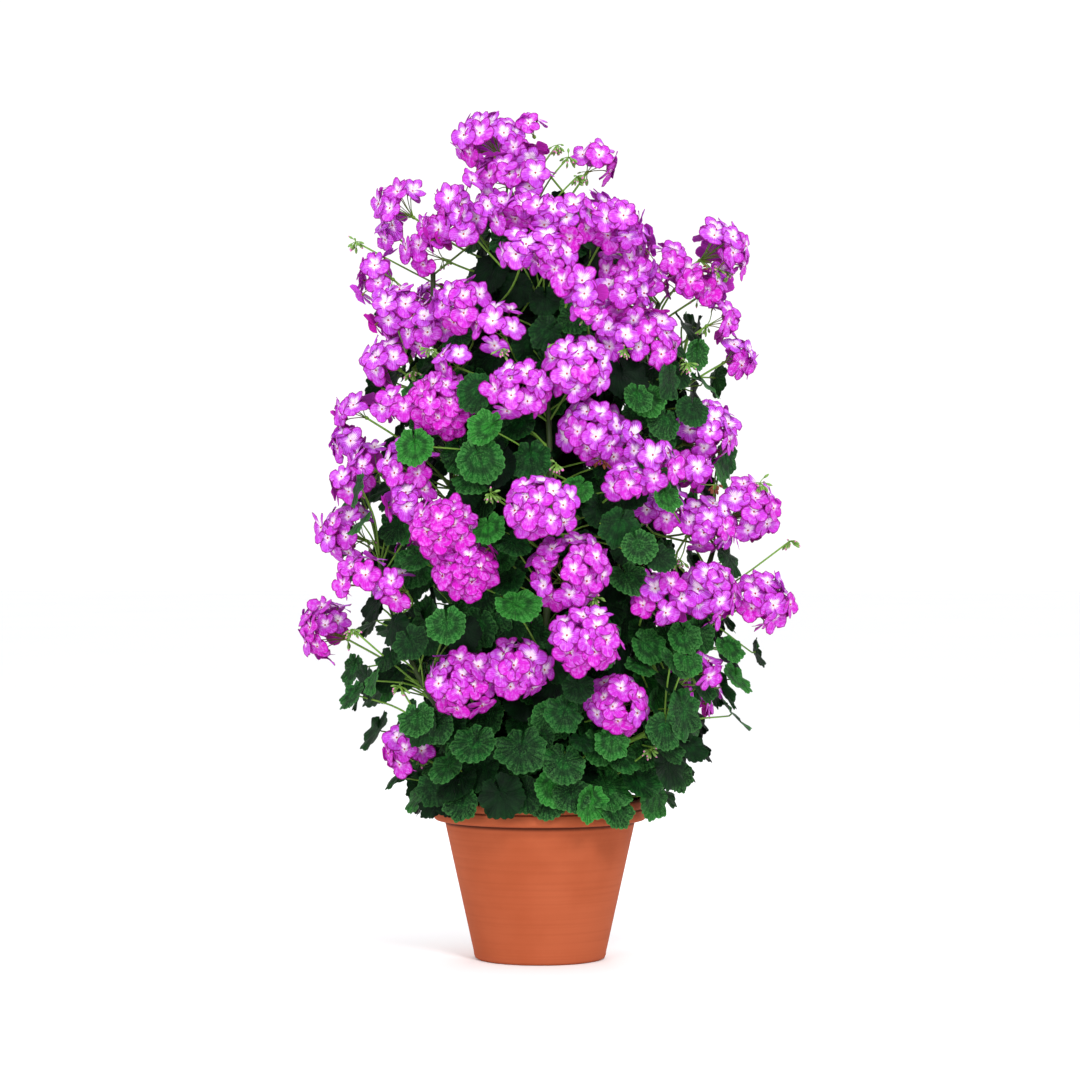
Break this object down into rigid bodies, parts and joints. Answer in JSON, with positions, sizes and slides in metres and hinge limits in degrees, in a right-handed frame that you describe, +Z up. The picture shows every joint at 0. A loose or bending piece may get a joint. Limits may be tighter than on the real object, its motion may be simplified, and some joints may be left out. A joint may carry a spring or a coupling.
{
  "type": "potted geranium plant",
  "caption": "Tall bushy geranium in full flower in a terracotta pot, with scalloped leaves and round heads of pink florets",
  "frame": {"origin": "on the pot's axis, at the middle of the flat underside that it stands on", "axes": "+Z up along the pot's axis and the plant's height, +X to the right as seen from the front, the plant's front faces -Y"},
  "size_m": [0.826, 0.6116, 1.3995],
  "materials": {
    "terracotta": "matte",
    "soil": "matte",
    "leaf": "satin",
    "petal": "matte"
  },
  "bodies": {
    "root": {"pot": "terracotta", "soil": "soil", "stem_crown": "leaf", "stem_left": "leaf", "stem_right": "leaf", "stem_front": "leaf", "stem_low_left": "leaf", "stem_low_right": "leaf", "stem_back_left": "leaf", "stem_back_right": "leaf", "bloom_01": "petal", "bloom_02": "petal", "bloom_03": "petal", "bloom_04": "petal", "bloom_05": "petal", "bloom_06": "petal", "bloom_07": "petal", "bloom_08": "petal", "bloom_09": "petal", "bloom_10": "petal", "bloom_11": "petal", "bloom_12": "petal", "bloom_13": "petal", "bloom_14": "petal", "bloom_15": "petal", "bloom_16": "petal", "bloom_17": "petal", "bloom_18": "petal", "bloom_19": "petal", "bloom_20": "petal", "bloom_21": "petal", "bloom_22": "petal", "bloom_23": "petal", "bloom_24": "petal", "bloom_25": "petal", "bloom_26": "petal", "bloom_27": "petal", "bloom_28": "petal", "bloom_29": "petal", "bloom_30": "petal", "bloom_31": "petal", "bloom_32": "petal", "bloom_33": "petal", "bloom_34": "petal", "bloom_35": "petal", "bloom_36": "petal", "bloom_37": "petal", "bloom_38": "petal", "bloom_39": "petal", "bloom_40": "petal", "bloom_41": "petal", "bloom_42": "petal", "bloom_43": "petal", "bloom_44": "petal", "bloom_45": "petal", "bloom_46": "petal", "bloom_47": "petal", "bloom_48": "petal", "bloom_49": "petal"}
  },
  "joints": []
}
